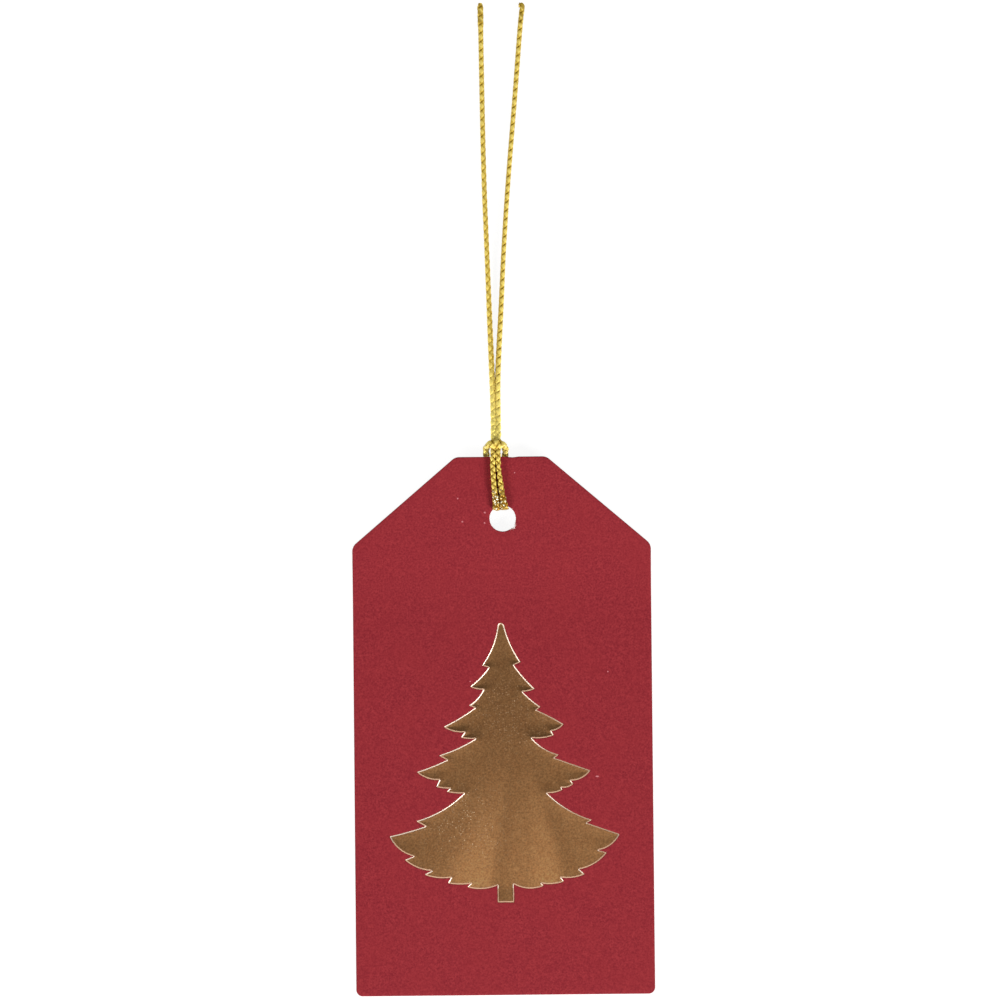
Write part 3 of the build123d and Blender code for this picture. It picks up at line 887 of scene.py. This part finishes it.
def woven(rows, angle, way):
    """For the points of a strand: its painted shade, and how far over others it lies, plus painted
    light.
    """
    turned = phase[rows][:, None]
    skewed = angle - roll[rows][:, None] + strand_easing * np.sin(2 * turned)
    falling = np.abs(np.cos(turned + skewed))
    rising = np.abs(np.cos(turned - skewed))
    firm = tight[rows][:, None]
    facing = np.cos(skewed) ** 2
    # Painted shade along the lines where the strands meet, and on the flanks of the loose ends.
    width = 0.55 + 0.12 * firm
    rising_gap = np.clip((width - rising) / gap_easing, 0, 1)
    rising_gap = rising_gap * (facing + (1 - firm) * 0.45 * (1 - facing))
    falling_gap = np.clip((width - falling) / gap_easing, 0, 1)
    falling_gap = falling_gap * (1 - facing) * (0.2 + 0.8 * firm)
    flank = 0.5 * (1 - firm) * (1 - facing) ** 2
    gap_shade = np.maximum(np.maximum(rising_gap, falling_gap), flank) * gap_shade_strength[rows][:, None]
    from_seam = (angle - roll[rows][:, None] - seam_shade_side + pi) % (2 * pi) - pi
    seam = painted_seam_shade[rows][:, None]
    seam_shade_line = seam * np.exp(-((from_seam / seam_shade_width) ** 2))
    gap_shade = np.maximum(gap_shade * (1 - 0.5 * seam), seam_shade_line)
    # Near the cut ends the strands are painted darker in patches.
    end_dark_patches = 0.35 + 0.45 * np.sin(4.6 * travel[rows][:, None] + 2 * angle)
    gap_shade = np.maximum(gap_shade, np.clip(end_dark_patches, 0, 1) * undone[rows][:, None])
    gap_shade = np.maximum(gap_shade, shade_under_band[rows][:, None])
    over = rising * falling * (1 - 0.4 * (way < 0) * (1 - firm))
    return gap_shade, over + (neck_painted_light + ear_painted_light)[rows][:, None]


def cord_surface(rows, angle, reach):
    """Points round the cord at these angles and distances from its middle, squeezed as it is."""
    offset = outward[rows][:, None] * (np.cos(angle) * reach)[..., None]
    offset = offset + sideways[rows][:, None] * (np.sin(angle) * reach)[..., None]
    flat = flat_way[rows][:, None]
    share = (offset * flat).sum(axis=2)[..., None]
    offset = offset * through[rows][:, None, None]
    offset = offset + share * flat * (across - through)[rows][:, None, None]
    return cord_points[rows][:, None] + offset


def braid(name, first, last, ends, finishes):
    """One stretch of the cord: four strands that weave over and under each other, round a core."""
    made = Shell()
    spread, gaps, overs, flats = [], [], [], []
    tip = first if first == 0 else last
    for (way, start), (short, lean) in zip(strand_ways, ends):
        rows = np.arange(first, last + 1)
        from_tip = np.abs(travel[rows] - travel[tip]) - short
        rows = rows[from_tip >= 0]
        loosened = np.clip(1 - from_tip[from_tip >= 0] / leaning_length, 0, 1) ** 2
        turn = way * phase[rows] - strand_easing * np.sin(2 * phase[rows]) + start + roll[rows]
        from_middle = strand_half_wide * section_wide
        over = way * np.cos(2 * phase[rows][:, None] + way * from_middle)
        angle = turn[:, None] + from_middle
        middle, sway, lead = (
            low + (high - low) * in_hitch[rows][:, None]
            for low, high in (strand_middle, strand_sway, strand_lead)
        )
        reach = middle + sway * (over + way * lead) + strand_half_thick * section_thick
        leaning = np.outer(loosened, lean)[:, None]
        made.add_rod(cord_surface(rows, angle, reach) + leaning)
        spread.append(np.column_stack(
            [np.repeat(travel[rows], strand_sides), np.tile(section_wide / 2 + 0.5, len(rows))]
        ))
        gap_shade, over = woven(rows, angle, way)
        gaps.append(gap_shade.ravel())
        overs.append(over.ravel())
        flats.append(np.repeat(pressed[rows], strand_sides))
    rows = np.arange(first, last + 1)
    rows = rows[np.abs(travel[rows] - travel[tip]) >= max(short for short, _ in ends)]
    angle = np.tile(around, (len(rows), 1))
    made.add_rod(cord_surface(rows, angle, np.full(angle.shape, core_radius)), 1)
    along = np.repeat(travel[rows], strand_sides)
    spread.append(np.column_stack([along, np.full(angle.size, 0.5)]))
    piece = made.piece(name, finishes)
    uv = piece.data.uv_layers.new(name="yarn")
    spread = np.concatenate(spread)
    corners = np.zeros(len(piece.data.loops), int)
    piece.data.loops.foreach_get("vertex_index", corners)
    uv.data.foreach_set("uv", spread[corners].ravel())
    for attribute, values in (("gap_shade", gaps), ("over", overs), ("pressed", flats)):
        values = np.concatenate([*values, np.zeros(angle.size)])
        piece.data.attributes.new(attribute, "FLOAT", "POINT").data.foreach_set("value", values)
    return piece


cord_hitch = braid("cord_hitch_braid", left_seam, right_seam, [(0.0, (0, 0, 0))] * 4, taut_finishes)
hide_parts("cord_hitch", "cord_neck")
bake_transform(cord_hitch)
# The cut ends have come a little undone: how much shorter each strand is, and which way it leans.
left_strands = (
    (0.0, (-0.02, 0.0, 0.03)), (0.3, (0.04, 0.0, 0.05)),
    (0.1, (0.03, 0.0, 0.0)), (0.5, (-0.05, 0.0, 0.02)),
)
right_strands = (
    (0.0, (-0.06, 0.02, 0.03)), (0.3, (0.04, 0.06, 0.05)),
    (0.1, (-0.04, -0.06, 0.06)), (0.2, (0.0, 0.05, 0.04)),
)
for name, rows, hinge_x, strands in (
    ("left", range(left_seam, -1, -1), -1.26, left_strands),
    ("right", range(right_seam, last_row + 1), -0.39, right_strands),
):
    cord_end = braid(f"cord_{name}_end_braid", min(rows), max(rows), strands, loose_finishes)
    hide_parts(f"cord_{name}_tail")
    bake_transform(cord_end)


# Table, light and camera: a white table, a dim light tent, a bright lamp low on the right, a long
# softbox on the left and a weak one past the top, a snoot over the cord where the hitch shades it,
# and a camera looking down at the tag.
table_mesh = bpy.data.meshes.new("table")
table_mesh.from_pydata([(-3, -3, 0), (3, -3, 0), (3, 3, 0), (-3, 3, 0)], [], [(0, 1, 2, 3)])
table = bpy.data.objects.new("table", table_mesh)
table.location.z = -0.02 * mm
bpy.context.scene.collection.objects.link(table)
white, tree, shader = new_finish("white_table")
shader.inputs["Base Color"].default_value = (0.2, 0.2, 0.2, 1.0)
shader.inputs["Roughness"].default_value = 0.9
shader.inputs["Specular IOR Level"].default_value = 0.1
seen = node(tree, "ShaderNodeLightPath")
shown = arithmetic(tree, "MAXIMUM", seen.outputs["Is Camera Ray"], seen.outputs["Is Glossy Ray"])
shown = arithmetic(tree, "MAXIMUM", shown, seen.outputs["Is Transmission Ray"])
shader.inputs["Emission Color"].default_value = (1.0, 1.0, 1.0, 1.0)
tree.links.new(arithmetic(tree, "MULTIPLY", shown, 0.9), shader.inputs["Emission Strength"])
table_mesh.materials.append(white)

tent = bpy.data.worlds.new("light_tent")
tent.use_nodes = True
bpy.context.scene.world = tent
tree = tent.node_tree
direction = node(tree, "ShaderNodeTexCoord").outputs["Generated"]
glow_side = Vector((0.0, -0.19, 1.0)).normalized()


def angle_from(side):
    """The angle between the way looked and a side of the tent."""
    facing = node(tree, "ShaderNodeVectorMath", {0: direction, 1: side}, operation="DOT_PRODUCT")
    return arithmetic(tree, "ARCCOSINE", facing.outputs["Value"])


level = bent(tree, arithmetic(tree, "DIVIDE", angle_from((0.0, 0.0, 1.0)), pi / 2), (
    (0.0, 0.2), (0.17, 0.22), (0.3, 0.22), (0.42, 0.08), (0.76, 0.07), (0.84, 0.28), (0.92, 0.66),
    (1.0, 0.7),
))
glow = node(tree, "ShaderNodeMapRange", {
    "Value": angle_from(glow_side), "From Min": radians(7.5), "From Max": radians(0.5),
    "To Max": 0.38,
}, interpolation_type="SMOOTHSTEP")
level = arithmetic(tree, "ADD", level, glow.outputs["Result"])
tree.links.new(level, tree.nodes["Background"].inputs["Strength"])
tree.nodes["Background"].inputs["Color"].default_value = (1.0, 1.0, 1.0, 1.0)
lamp_distance = 1.6


def softbox(name, azimuth, from_zenith, wide, tall, share):
    """A lamp that faces the tag, wide and tall in degrees, with its share of the card's light."""
    lamp = bpy.data.lights.new(name, "AREA")
    lamp.shape = "RECTANGLE"
    lamp.size = 2 * lamp_distance * tan(radians(wide) / 2)
    lamp.size_y = 2 * lamp_distance * tan(radians(tall) / 2)
    up, round_about = radians(from_zenith), radians(azimuth)
    lamp.energy = share * pi**2 * lamp_distance**2 / cos(up)
    box = bpy.data.objects.new(name, lamp)
    away = Vector((sin(up) * cos(round_about), sin(up) * sin(round_about), cos(up)))
    box.location = away * lamp_distance
    box.rotation_euler = away.to_track_quat("Z", "Y").to_euler()
    box.visible_camera = False
    bpy.context.scene.collection.objects.link(box)


softbox("right_lamp", -40, 67, 34, 16, 0.57)
softbox("left_softbox", 213, 66, 36, 20, 0.39)
softbox("top_softbox", 90, 58, 80, 20, 0.05)

snoot = bpy.data.lights.new("snoot", "SPOT")
snoot.spot_size = radians(1.8)
snoot.spot_blend = 0.6
snoot.shadow_soft_size = 2 * mm
snoot_height = 0.5
snoot_share = 0.14  # of the card's light, where it falls
snoot.energy = snoot_share * 4 * pi**2 * snoot_height**2
snoot_box = bpy.data.objects.new("snoot", snoot)
snoot_box.location = (-0.8 * mm, 51.0 * mm, snoot_height)
bpy.context.scene.collection.objects.link(snoot_box)

camera = bpy.data.cameras.new("camera")
camera.lens = 85
camera.sensor_width = 36
camera.clip_start = 0.01
eye = bpy.data.objects.new("camera", camera)
eye.location = (-0.22 * mm, 33.63 * mm, 396.0 * mm)
eye.rotation_euler = (0.0105, 0, -0.0096)
bpy.context.scene.collection.objects.link(eye)
bpy.context.scene.camera = eye
bpy.context.scene.view_settings.view_transform = "Standard"
